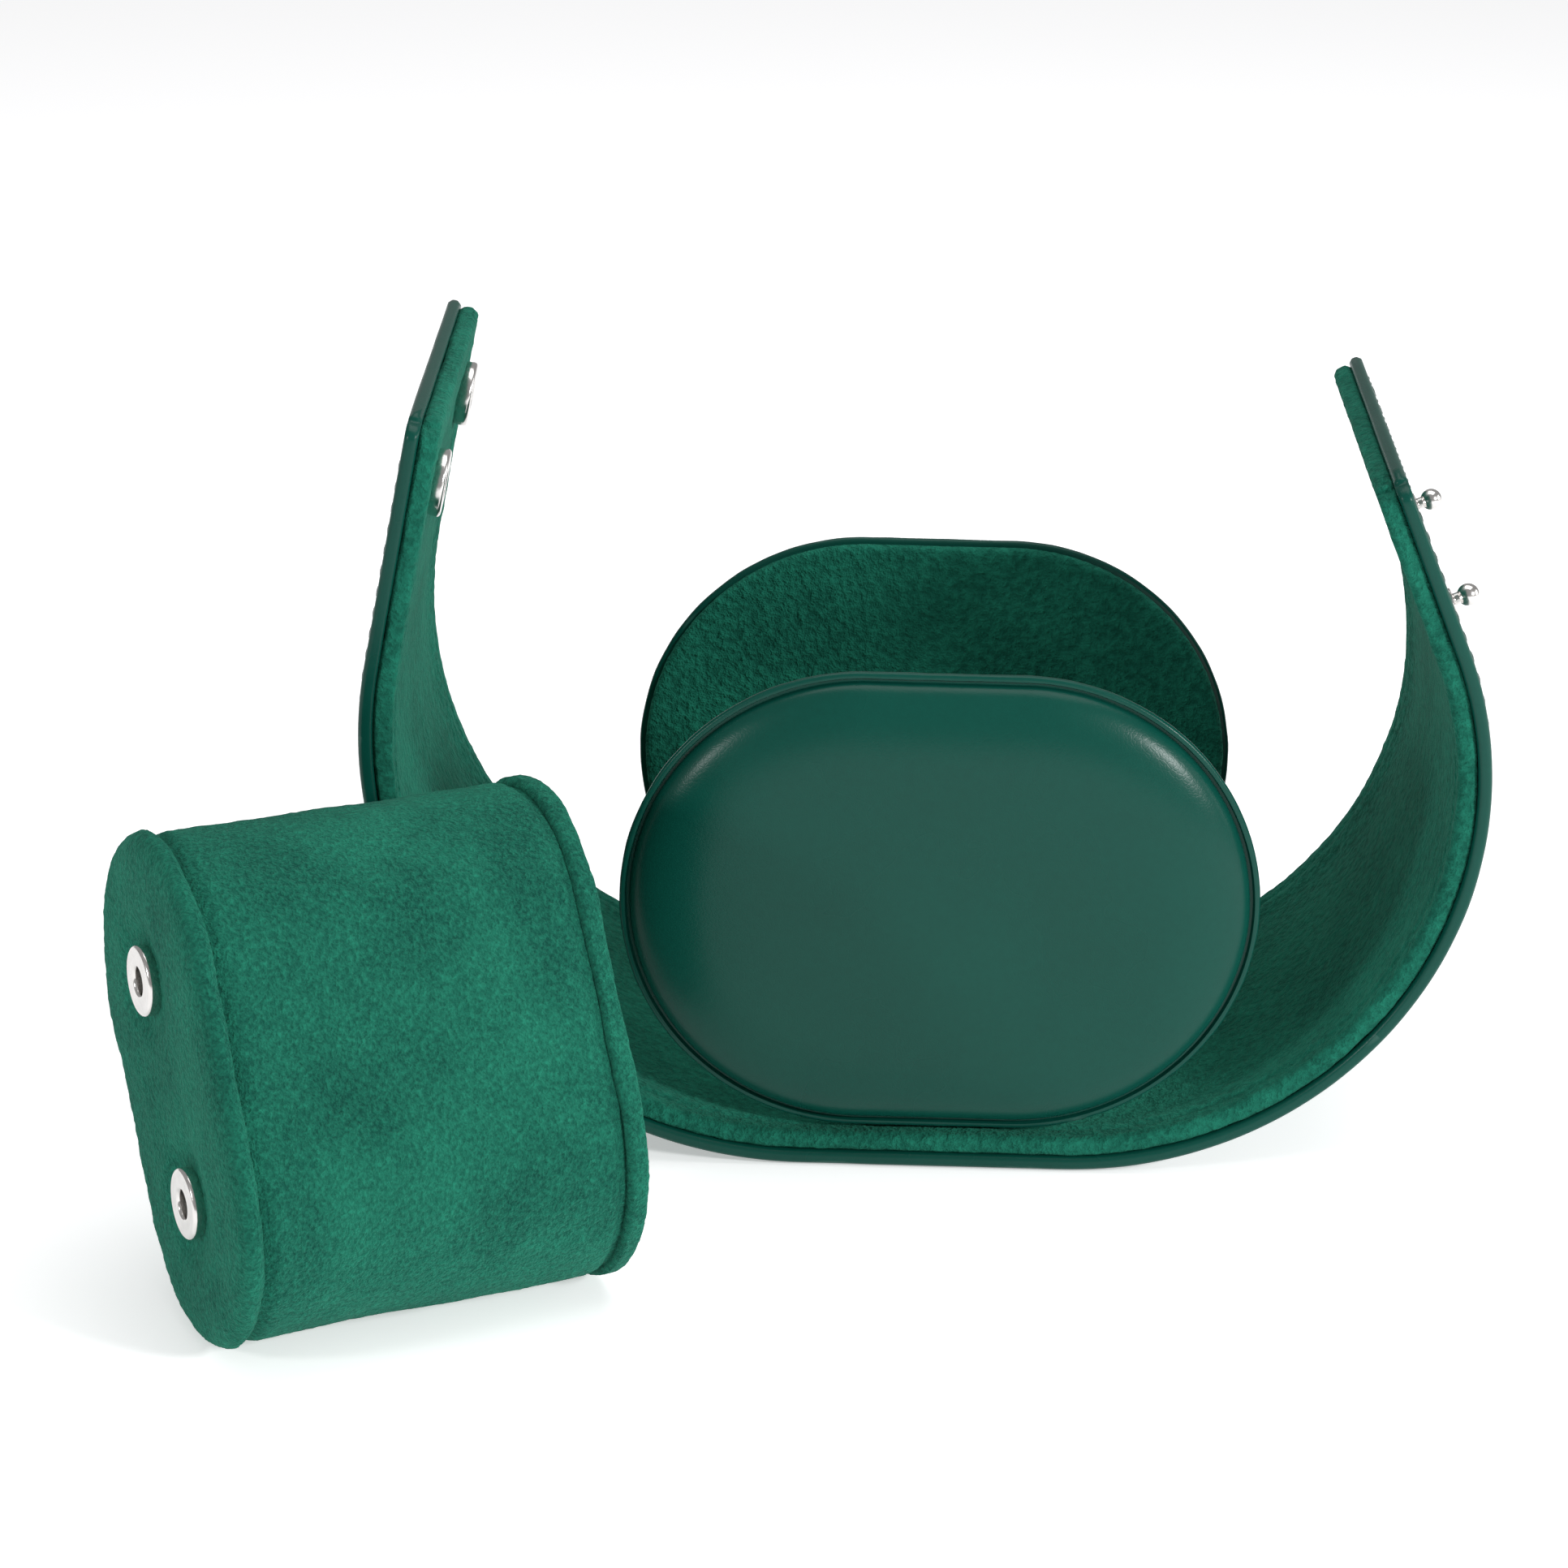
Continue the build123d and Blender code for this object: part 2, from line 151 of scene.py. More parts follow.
def new_group(name, inputs, outputs):
    """An empty node group with its named sockets, each (name, socket type, default)."""
    tree = bpy.data.node_groups.new(name, "ShaderNodeTree")
    for label, kind, value in inputs:
        socket = tree.interface.new_socket(label, in_out="INPUT", socket_type=kind)
        socket.default_value = value
    for label, kind in outputs:
        tree.interface.new_socket(label, in_out="OUTPUT", socket_type=kind)
    return tree, tree.nodes.new("NodeGroupInput"), tree.nodes.new("NodeGroupOutput")


def new_node(tree, kind, links=(), **settings):
    """A node with its settings, and its inputs linked or set: (input, value or socket)."""
    node = tree.nodes.new(kind)
    for label, value in settings.items():
        setattr(node, label, value)
    for label, value in links:
        if isinstance(value, bpy.types.NodeSocket):
            tree.links.new(value, node.inputs[label])
        else:
            node.inputs[label].default_value = value
    return node


def noise(tree, place, scale, detail, roughness=0.5):
    """A noise texture's strength, from 0 to 1, at a place."""
    links = [("Vector", place), ("Scale", scale), ("Detail", detail), ("Roughness", roughness)]
    return new_node(tree, "ShaderNodeTexNoise", links).outputs["Fac"]


def spread(tree, value, low, high, to_low=0.0, to_high=1.0):
    """A value stretched from one range to another, and kept inside it."""
    ends = [("From Min", low), ("From Max", high), ("To Min", to_low), ("To Max", to_high)]
    return new_node(tree, "ShaderNodeMapRange", [("Value", value), *ends]).outputs["Result"]


def weighed(tree, value, weight, base=0.0):
    """A value times a weight, added to a base."""
    links = [(0, value), (1, weight), (2, base)]
    return new_node(tree, "ShaderNodeMath", links, operation="MULTIPLY_ADD").outputs[0]


def blended(tree, share, first, second, blend_type="MIX"):
    """Two colours mixed by a share."""
    node = new_node(tree, "ShaderNodeMix", data_type="RGBA", blend_type=blend_type)
    for label, value in ((0, share), (6, first), (7, second)):
        if isinstance(value, bpy.types.NodeSocket):
            tree.links.new(value, node.inputs[label])
        else:
            node.inputs[label].default_value = value
    return node.outputs[2]


grain, grain_in, grain_out = new_group(
    "hide_grain",
    [
        ("Colour", "NodeSocketColor", (0.02, 0.09, 0.06, 1)),
        ("Worn", "NodeSocketColor", (0.1, 0.16, 0.14, 1)),
        ("Grain Scale", "NodeSocketFloat", 1400.0),
    ],
    [("Color", "NodeSocketColor"), ("Roughness", "NodeSocketFloat"), ("Height", "NodeSocketFloat")],
)
grain_place = new_node(grain, "ShaderNodeTexCoord").outputs["Object"]
grain_cells = new_node(
    grain,
    "ShaderNodeTexVoronoi",
    [("Vector", grain_place), ("Scale", grain_in.outputs["Grain Scale"])],
    feature="DISTANCE_TO_EDGE",
).outputs["Distance"]
grain_cells = spread(grain, grain_cells, 0.0, 0.16)
grain_clouds = noise(grain, grain_place, 42.0, 3.0)
grain_pores = noise(grain, grain_place, 900.0, 3.0)
# the tint changes slowly, broken up by the pores
black = (0, 0, 0, 1)
white = (1, 1, 1, 1)
grain_tint = spread(grain, weighed(grain, grain_pores, 0.6, grain_clouds), 0.55, 1.05, 0.88, 1.0)
grain_tint = blended(grain, grain_tint, black, white)
grain_colour = blended(grain, 1.0, grain_in.outputs["Colour"], grain_tint, "MULTIPLY")
edge_wear = new_node(grain, "ShaderNodeNewGeometry").outputs["Pointiness"]
edge_wear = spread(grain, edge_wear, 0.56, 0.66, 0.0, 0.35)
grain_colour = blended(grain, edge_wear, grain_colour, grain_in.outputs["Worn"])
grain.links.new(grain_colour, grain_out.inputs["Color"])
grain.links.new(spread(grain, grain_clouds, 0.25, 0.75, 0.25, 0.31), grain_out.inputs["Roughness"])
grain.links.new(weighed(grain, grain_pores, 0.8, grain_cells), grain_out.inputs["Height"])


def finish_material(name, group, values, bump_depth, shader_values):
    """A material whose colour, bump and, if the group has one, roughness come from a group."""
    material = bpy.data.materials.new(name)
    material.use_nodes = True
    tree = material.node_tree
    shader = tree.nodes["Principled BSDF"]
    for label, value in shader_values:
        shader.inputs[label].default_value = value
    effect = tree.nodes.new("ShaderNodeGroup")
    effect.node_tree = group
    for label, value in values:
        effect.inputs[label].default_value = value
    tree.links.new(effect.outputs["Color"], shader.inputs["Base Color"])
    if "Roughness" in effect.outputs:
        tree.links.new(effect.outputs["Roughness"], shader.inputs["Roughness"])
    bump = new_node(tree, "ShaderNodeBump", [("Height", effect.outputs["Height"])])
    bump.inputs["Distance"].default_value = bump_depth
    bump.inputs["Strength"].default_value = 1.0
    tree.links.new(bump.outputs["Normal"], shader.inputs["Normal"])
    return material


smooth_hide = finish_material(
    "smooth_hide",
    grain,
    [("Colour", (0.0022, 0.0575, 0.0415, 1)), ("Worn", (0.06, 0.13, 0.11, 1))],
    bump_depth=0.000006,
    shader_values=[("Specular IOR Level", 0.18)],
)


def pick(piece):
    """Makes one object the only one selected, and the active one."""
    bpy.ops.object.select_all(action="DESELECT")
    piece.select_set(True)
    bpy.context.view_layer.objects.active = piece


def start_edit(piece):
    """Edit mode on a piece, with nothing selected."""
    pick(piece)
    bpy.ops.object.mode_set(mode="EDIT")
    bpy.ops.mesh.select_all(action="DESELECT")


def choose(piece, kind, test):
    """In edit mode, selects only the faces, edges or vertices whose middle passes a test."""
    bpy.ops.mesh.select_all(action="DESELECT")
    bpy.ops.mesh.select_mode(type={"verts": "VERT", "edges": "EDGE", "faces": "FACE"}[kind])
    shape = bmesh.from_edit_mesh(piece.data)
    for part in getattr(shape, kind):
        if kind == "verts":
            part.select = test(part.co, part)
        elif kind == "edges":
            part.select = test((part.verts[0].co + part.verts[1].co) / 2, part)
        else:
            part.select = test(part.calc_center_median(), part)
    shape.select_flush_mode()
    bmesh.update_edit_mesh(piece.data)


def end_edit():
    """Back to object mode, with the edit kept."""
    bpy.ops.object.mode_set(mode="OBJECT")


def settle(piece):
    """Puts an object's place, turn and size into its mesh."""
    pick(piece)
    bpy.ops.object.transform_apply(location=True, rotation=True, scale=True)


def apply_all(piece):
    """Applies every modifier of a piece, in order."""
    pick(piece)
    for modifier in list(piece.modifiers):
        bpy.ops.object.modifier_apply(modifier=modifier.name)


def copy_of(piece, name):
    """A copy of a piece with its own mesh."""
    pick(piece)
    bpy.ops.object.duplicate(linked=False)
    twin = bpy.context.object
    twin.name = name
    return twin


def ruffle(piece, name, size, depth):
    """Raises and sinks the surface by a cloudy pattern, as nap, padding or hide does."""
    texture = bpy.data.textures.new(name, "CLOUDS")
    texture.noise_scale = size
    texture.noise_depth = 2
    modifier = piece.modifiers.new(name, "DISPLACE")
    modifier.texture = texture
    modifier.texture_coords = "LOCAL"
    modifier.strength = depth
    modifier.mid_level = 0.5
    apply_all(piece)


def pull_out(reach, narrow, flat, middle):
    """Pulls the chosen faces out along the strip, and then narrows and flattens them."""
    bpy.ops.mesh.extrude_region_move(TRANSFORM_OT_translate={"value": (reach, 0, 0)})
    bpy.ops.transform.resize(value=(1, narrow, flat), center_override=(0, 0, middle))


def flat_strip(name, length, half, low, high, low_round, high_round, step):
    """A flat length of one layer: its section is drawn at the middle of the wrap, and pulled
    out to the tip in steps."""
    thickness = high - low
    middle = (low + high) / 2
    upright = (0, math.radians(90), 0)
    bpy.ops.object.select_all(action="DESELECT")
    bpy.ops.mesh.primitive_plane_add(size=1, location=(0, 0, middle), rotation=upright)
    strip = bpy.context.object
    strip.name = name
    strip.scale = (thickness, 2 * half, 1)
    settle(strip)
    start_edit(strip)
    for level, radius in ((low, low_round), (high, high_round)):
        choose(
            strip,
            "verts",
            lambda co, part: abs(co.z - level) < 1e-6 and abs(abs(co.y) - half) < 1e-6,
        )
        bpy.ops.mesh.bevel(offset=radius, segments=5, affect="VERTICES")
    # the surface needs short edges, shorter still near the strip's long edges
    edge_band = 0.0085
    choose(strip, "edges", lambda co, part: part.calc_length() > half)
    bpy.ops.mesh.subdivide(number_cuts=11)
    choose(strip, "edges", lambda co, part: part.calc_length() > 0.002)
    bpy.ops.mesh.subdivide(number_cuts=2)
    choose(
        strip,
        "edges",
        lambda co, part: part.calc_length() > 0.001 and abs(co.y) > half - edge_band,
    )
    bpy.ops.mesh.subdivide(number_cuts=2)
    bpy.ops.mesh.select_all(action="SELECT")
    spans = 3
    span = (length - tip_corner) / spans
    for _ in range(spans):
        pull_out(span, 1, 1, middle)
    # the free end narrows round its two corners
    tip_round = min(low_round, high_round)
    turns = 8
    angles = [math.radians(90) * n / turns for n in range(turns + 1)]
    for before, after in zip(angles[:-1], angles[1:]):
        narrow = half - tip_corner * (1 - math.cos(after))
        narrow /= half - tip_corner * (1 - math.cos(before))
        reach = (tip_corner - tip_round) * (math.sin(after) - math.sin(before))
        pull_out(reach, narrow, 1, middle)

    # and then it rounds over
    def tip_height(share):
        return thickness / 2 - tip_round * 0.8 * (1 - math.sqrt(1 - share**2 * 0.96))

    for before, after in ((0.0, 0.45), (0.45, 1.0)):
        flat = tip_height(after) / tip_height(before)
        pull_out(tip_round * (after - before), 1 - 0.0002 / half, flat, middle)
    choose(strip, "edges", lambda co, part: part.calc_length() > span * 0.9)
    bpy.ops.mesh.subdivide(number_cuts=int(span / step))
    bpy.ops.mesh.select_all(action="SELECT")
    bpy.ops.mesh.normals_make_consistent(inside=False)
    end_edit()
    return strip


def join_arms(right_strip, left_strip, name):
    """Turns the left strip over to its own side, and sews both into one strip at the middle."""
    start_edit(left_strip)
    bpy.ops.mesh.select_all(action="SELECT")
    bpy.ops.transform.mirror(constraint_axis=(True, False, False), center_override=(0, 0, 0))
    bpy.ops.mesh.flip_normals()
    end_edit()
    pick(right_strip)
    left_strip.select_set(True)
    bpy.ops.object.join()
    right_strip.name = name
    start_edit(right_strip)
    choose(right_strip, "faces", lambda co, part: abs(co.x) < 1e-6 and abs(part.normal.x) > 0.9)
    bpy.ops.mesh.delete(type="FACE")
    choose(right_strip, "verts", lambda co, part: abs(co.x) < 1e-6)
    bpy.ops.mesh.remove_doubles(threshold=1e-6)
    end_edit()
    return right_strip


def cut_places(arm, first, last):
    """Where an arm's layers are cut: half way between its creases, from first to last."""
    creases = arm["creases"]
    return [first, *[(near + far) / 2 for near, far in zip(creases[:-1], creases[1:])], last]


def cut_lengths(strip, arm, layer):
    """Cuts a flat strip half way between its creases: one closed piece for each crease."""
    # the two arms part just right of the middle, beside the loop of edges that joins them
    parting = 0.00038
    places = cut_places(arm, arm["side"] * parting, arm["end"] + 0.01)
    lengths = []
    for number, (near, far) in enumerate(zip(places[:-1], places[1:]), 1):
        length = copy_of(strip, f"{layer}_{number}")
        for place, outward in ((near, -arm["side"]), (far, arm["side"])):
            start_edit(length)
            bpy.ops.mesh.select_all(action="SELECT")
            bpy.ops.mesh.bisect(
                plane_co=(arm["side"] * place, 0, 0),
                plane_no=(outward, 0, 0),
                use_fill=True,
                clear_outer=True,
                threshold=1e-7,
            )
            end_edit()
        lengths.append(length)
    return lengths


def roll_up(piece, arm):
    """Bends a flat piece round the arm's open bend."""
    side = arm["side"]
    reach = sorted(side * v.co.x - arm["start"] for v in piece.data.vertices)
    low, high = reach[0], reach[-1]
    bend_length = arm["radius"] * arm["turn"]
    first = max(low, 0.0)
    last = min(high, bend_length)
    if low > bend_length:
        centre = Matrix.Translation((side * arm["start"], 0, strip_thickness + arm["radius"]))
        turn = Matrix.Rotation(-side * arm["turn"], 4, "Y")
        slide = Matrix.Translation((-side * bend_length, 0, 0))
        piece.matrix_world = centre @ turn @ centre.inverted() @ slide
        settle(piece)
    elif last > first:
        hinge = bpy.data.objects.new("bend_origin", None)
        scene.collection.objects.link(hinge)
        origin = Matrix.Translation((side * arm["start"], 0, strip_thickness))
        hinge.matrix_world = origin @ Matrix.Rotation(math.radians(90), 4, "X")
        bpy.context.view_layer.update()
        bend = piece.modifiers.new("roll", "SIMPLE_DEFORM")
        bend.deform_method = "BEND"
        bend.deform_axis = "Z"
        bend.origin = hinge
        limits = [(first - low) / (high - low), (last - low) / (high - low)]
        bend.limits = limits if side > 0 else [1 - limits[1], 1 - limits[0]]
        bend.angle = (last - first) / arm["radius"]
        apply_all(piece)
        bpy.data.objects.remove(hinge)


def turn_with(piece):
    """Puts a piece of the wrap's place and turn into its mesh."""
    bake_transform(piece)


def lay_strip(strip, layer, material, cad_layer):
    """Cuts a flat strip into lengths and rolls each one up."""
    for arm_name, arm in arms.items():
        lengths = cut_lengths(strip, arm, f"{arm_name}_{layer}")
        whole = copy_of(strip, "whole_arm")
        roll_up(whole, arm)
        pick(whole)
        bpy.ops.object.shade_smooth()
        for number, length in enumerate(lengths, 1):
            roll_up(length, arm)
            pick(length)
            bpy.ops.object.shade_smooth()
            # the uncut arm's shading hides the cuts
            shading = length.modifiers.new("seamless", "DATA_TRANSFER")
            shading.object = whole
            shading.use_loop_data = True
            shading.data_types_loops = {"CUSTOM_NORMAL"}
            shading.loop_mapping = "NEAREST_POLYNOR"
            apply_all(length)
            length.data.materials.append(material)
            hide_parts(f"{arm_name}_arm_{cad_layer}_{number}")
            if number == 1:
                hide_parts(f"base_{cad_layer}")
            turn_with(length)
        bpy.data.objects.remove(whole)
    bpy.data.objects.remove(strip)


hide_sides = [
    flat_strip(
        f"{name}_hide",
        arm["end"],
        half_width,
        0.0,
        hide_thickness,
        low_round=0.0009,
        high_round=0.0008,
        step=0.0016,
    )
    for name, arm in arms.items()
]
hide = join_arms(*hide_sides, "wrap_hide")
# the sewn edge: the hide dips a little under the stitches
stitch_band = 0.0006
stitch_dip = 0.00018
start_edit(hide)
choose(
    hide,
    "verts",
    lambda co, part: co.z < 1e-5 and abs(abs(co.y) - half_width + stitch_inset) < stitch_band,
)
bpy.ops.transform.translate(value=(0, 0, stitch_dip))
end_edit()
ruffle(hide, "hide_waves", size=0.012, depth=0.00012)
lay_strip(hide, "hide", smooth_hide, "leather")


# ---------------------------------------------------------------- wrap: lining
# The inside of the wrap is padded suede with a short brushed nap: fine light and dark specks,
# and broad patches where it was stroked. It is cut a little smaller than the hide, sewn to it
# through a groove inside a padded roll, and has two holes for the snap sockets of the left arm.
nap, nap_in, nap_out = new_group(
    "suede_nap",
    [
        ("Light", "NodeSocketColor", (0.02, 0.25, 0.14, 1)),
        ("Dark", "NodeSocketColor", (0.01, 0.12, 0.07, 1)),
        ("Speck Scale", "NodeSocketFloat", 750.0),
        ("Patch Scale", "NodeSocketFloat", 55.0),
    ],
    [("Color", "NodeSocketColor"), ("Height", "NodeSocketFloat")],
)
nap_place = new_node(nap, "ShaderNodeTexCoord").outputs["Object"]
nap_specks = noise(nap, nap_place, nap_in.outputs["Speck Scale"], 3.0, 0.65)
nap_specks = spread(nap, nap_specks, 0.34, 0.66)
nap_patches = noise(nap, nap_place, nap_in.outputs["Patch Scale"], 3.0, 0.6)
nap_patches = spread(nap, nap_patches, 0.36, 0.66)
nap_fibres = noise(nap, nap_place, 2600.0, 2.0, 0.6)
nap_light = weighed(nap, nap_specks, 0.56)
nap_light = weighed(nap, nap_patches, 0.36, nap_light)
nap_light = weighed(nap, nap_fibres, 0.16, nap_light)
nap_colour = blended(nap, nap_light, nap_in.outputs["Dark"], nap_in.outputs["Light"])
nap.links.new(nap_colour, nap_out.inputs["Color"])
nap.links.new(weighed(nap, nap_fibres, 0.5, nap_specks), nap_out.inputs["Height"])
suede_shader = [
    ("Roughness", 0.95),
    ("Specular IOR Level", 0.12),
    ("Sheen Weight", 0.22),
    ("Sheen Roughness", 0.45),
    ("Sheen Tint", (0.12, 0.6, 0.42, 1)),
]
lining_suede = finish_material(
    "lining_suede",
    nap,
    [("Light", (0.0125, 0.172, 0.112, 1)), ("Dark", (0.0025, 0.058, 0.039, 1))],
    bump_depth=0.00035,
    shader_values=suede_shader,
)


def cut_socket_hole(piece, place, depth):
    """Cuts a round hole for a snap's cup, straight down through a piece."""
    bpy.ops.object.select_all(action="DESELECT")
    bpy.ops.mesh.primitive_cylinder_add(
        vertices=48, radius=socket_hole_radius, depth=depth, location=place
    )
    cutter = bpy.context.object
    hole = piece.modifiers.new("socket_hole", "BOOLEAN")
    hole.object = cutter
    hole.solver = "EXACT"
    apply_all(piece)
    bpy.data.objects.remove(cutter)


def inside_tips(place, inset):
    """Whether a place along the wrap is further than an inset from both free ends."""
    return -arms["left"]["end"] + inset < place < arms["right"]["end"] - inset


lining_inset = 0.0008
lining_short = 0.0005
lining_sides = [
    flat_strip(
        f"{name}_lining",
        arm["end"] - lining_short,
        half_width - lining_inset,
        hide_thickness,
        strip_thickness,
        low_round=0.0009,
        high_round=0.0013,
        step=0.0009,
    )
    for name, arm in arms.items()
]
lining = join_arms(*lining_sides, "wrap_lining")
# a padded roll stands along the edge, and inside it the lining drops in four small steps
start_edit(lining)
upper_half = strip_thickness - 0.0012
roll_width = 0.0068
tip_roll_width = 0.007
for inset, drop in ((0.0, 0.00012), (0.0012, 0.00016), (0.0026, 0.00016), (0.0042, 0.00012)):
    choose(
        lining,
        "verts",
        lambda co, part: co.z > upper_half
        and abs(co.y) < half_width - roll_width - inset
        and inside_tips(co.x, tip_roll_width + inset),
    )
    bpy.ops.transform.translate(value=(0, 0, -drop))
# the sewn groove in the roll
groove_inset = 0.0048
groove_half = 0.00045
groove_depth = 0.0004
choose(
    lining,
    "verts",
    lambda co, part: co.z > upper_half
    and abs(abs(co.y) - half_width + groove_inset) < groove_half
    and inside_tips(co.x, 0.006),
)
bpy.ops.transform.translate(value=(0, 0, -groove_depth))
end_edit()
ruffle(lining, "suede_padding", size=0.009, depth=0.0003)
ruffle(lining, "suede_nap_clumps", size=0.0011, depth=0.00034)

strap_rows = (-0.025, 0.025)
socket_hole_radius = 0.0037
hole_floor = hide_thickness + 0.0002
hole_depth = 0.006
for row in strap_rows:
    hole_place = (-arms["left"]["snaps"], row, hole_floor + hole_depth / 2)
    cut_socket_hole(lining, hole_place, hole_depth)
lay_strip(lining, "suede", lining_suede, "lining")


# ---------------------------------------------------------------- wrap: stitches
# A heavy waxed thread sews the hide to the lining, one row along each long edge and one
# across each free end. The stitches lie in the hide's dip, and slant a little.
thread = finish_material(
    "waxed_thread",
    grain,
    [("Colour", (0.012, 0.05, 0.036, 1)), ("Worn", (0.05, 0.1, 0.085, 1)), ("Grain Scale", 5000.0)],
    bump_depth=0.00003,
    shader_values=[("Specular IOR Level", 0.4)],
)
stitch_pitch = 0.0034
stitch_long = 0.0027
stitch_wide = 0.0007
stitch_tall = 0.0009
stitch_slant = math.radians(7)
# how far the middle of a stitch is sunk: a little deeper where the case stands on it
arm_sink = 0.00024
bottom_sink = 0.0003


def stitch_row(lay, size, slant, place, count, pitch):
    """A row of like stitches: one short thick thread, copied along the strip."""
    bpy.ops.object.select_all(action="DESELECT")
    bpy.ops.mesh.primitive_uv_sphere_add(segments=8, ring_count=6, radius=0.5, rotation=lay)
    row = bpy.context.object
    settle(row)
    row.scale = size
    row.rotation_euler = (0, 0, slant)
    row.location = place
    settle(row)
    line = row.modifiers.new("row", "ARRAY")
    line.count = count
    line.use_relative_offset = False
    line.use_constant_offset = True
    line.constant_offset_displace = pitch
    apply_all(row)
    return row


def join_all(pieces, name):
    """Joins pieces into one, under a new name."""
    pick(pieces[0])
    for piece in pieces[1:]:
        piece.select_set(True)
    bpy.ops.object.join()
    whole = bpy.context.object
    whole.name = name
    return whole


for arm_name, arm in arms.items():
    side = arm["side"]
    places = cut_places(arm, 0.0, arm["end"] - 0.005)
    for number, (near, far) in enumerate(zip(places[:-1], places[1:]), 1):
        first = math.ceil(near / stitch_pitch - 0.5)
        rows = [
            stitch_row(
                lay=(0, math.radians(90), 0),
                size=(stitch_long, stitch_wide, stitch_tall),
                slant=stitch_slant * edge,
                place=(
                    side * (first + 0.5) * stitch_pitch,
                    edge * (half_width - stitch_inset),
                    bottom_sink if number == 1 else arm_sink,
                ),
                count=math.ceil(far / stitch_pitch - 0.5) - first,
                pitch=(side * stitch_pitch, 0, 0),
            )
            for edge in (-1, 1)
        ]
        if number == len(arm["creases"]):
            end_half = half_width - stitch_inset - tip_corner * 0.6
            end_count = int(2 * end_half / stitch_pitch)
            end_row = stitch_row(
                lay=(math.radians(90), 0, 0),
                size=(stitch_wide, stitch_long, stitch_tall),
                slant=0,
                place=(
                    side * (arm["end"] - stitch_inset),
                    -(end_count - 1) / 2 * stitch_pitch,
                    bottom_sink,
                ),
                count=end_count,
                pitch=(0, stitch_pitch, 0),
            )
            rows.append(end_row)
        seam_line = join_all(rows, f"{arm_name}_stitches_{number}")
        roll_up(seam_line, arm)
        pick(seam_line)
        bpy.ops.object.shade_smooth()
        seam_line.data.materials.append(thread)
        turn_with(seam_line)


# ---------------------------------------------------------------- end panels
# Each panel is a slot-shaped board: a padded hide outside, a hide turned over the board's
# rim, and suede inside. It stands on the wrap's lining and leans on a tape at its foot.
panel_long = 0.100
panel_short = 0.076
panel_middle = 0.0437
panel_inside = 0.0324


def slot_disc(name, long, short, low, high, corners):
    """A disc with straight sides, standing on its low face, its long way along X."""
    bpy.ops.object.select_all(action="DESELECT")
    bpy.ops.mesh.primitive_cylinder_add(
        vertices=corners,
        radius=short / 2,
        depth=high - low,
        location=(0, 0, (low + high) / 2),
        rotation=(0, 0, math.pi / corners),
    )
    disc = bpy.context.object
    disc.name = name
    settle(disc)
    start_edit(disc)
    for side in (-1, 1):
        choose(disc, "verts", lambda co, part: co.x * side > 1e-6)
        bpy.ops.transform.translate(value=(side * (long - short) / 2, 0, 0))
    choose(disc, "edges", lambda co, part: abs(co.x) < 1e-5 and part.calc_length() > (long - short) * 0.9)
    bpy.ops.mesh.subdivide(number_cuts=max(1, int((long - short) / (math.pi * short / corners))))
    end_edit()
    return disc


def shape_face(disc, level, steps):
    """Insets the disc's face at a level again and again; each step is (inset, rise)."""
    start_edit(disc)
    choose(disc, "faces", lambda co, part: abs(co.z - level) < 1e-6 and abs(part.normal.z) > 0.9)
    for inset, rise in steps:
        bpy.ops.mesh.inset(thickness=inset, depth=rise)
    # the points that crowd together on the long axis are merged
    bpy.ops.mesh.remove_doubles(threshold=0.0007)
    end_edit()


def stand_up(piece, side):
    """Turns a panel's layer upright on the front (-1) or the back (1) of the wrap."""
    foot = Matrix.Translation((0, side * panel_inside, panel_middle))
    piece.matrix_world = foot @ Matrix.Rotation(math.radians(-90 * side), 4, "X")
    settle(piece)


# the pad is a rounded crown that swells quickly from its rim and then lies almost flat
pad_smaller = 0.0032
pad_low = 0.0017
pad_face = 0.0020
crown_width = 0.013
crown_rise = 0.0050
crown_steps = 14
crown_places = [crown_width * (n / crown_steps) ** 1.6 for n in range(crown_steps + 1)]
crown_rises = [crown_rise * math.sqrt(1 - (1 - place / crown_width) ** 2) for place in crown_places]
crown = [
    (crown_places[n + 1] - crown_places[n], crown_rises[n + 1] - crown_rises[n])
    for n in range(crown_steps)
]
crown += [(0.0035, 0.00003), (0.0035, 0.00001), (0.0035, 0.0), (0.0035, 0.0), (0.002, 0.0)]
turned_low = 0.0012
turned_face = 0.0025
turned_groove = [(0.0003, 0.0), (0.0003, -0.0007)]
suede_smaller = 0.0020
suede_face = 0.0009
suede_back = 0.0013
suede_rim = [(0.0001, 0.0004), (0.0003, 0.0003), (0.0005, 0.0002)]
suede_flat = [(0.0008, 0.0)] * 8 + [(0.0025, 0.0)] * 10

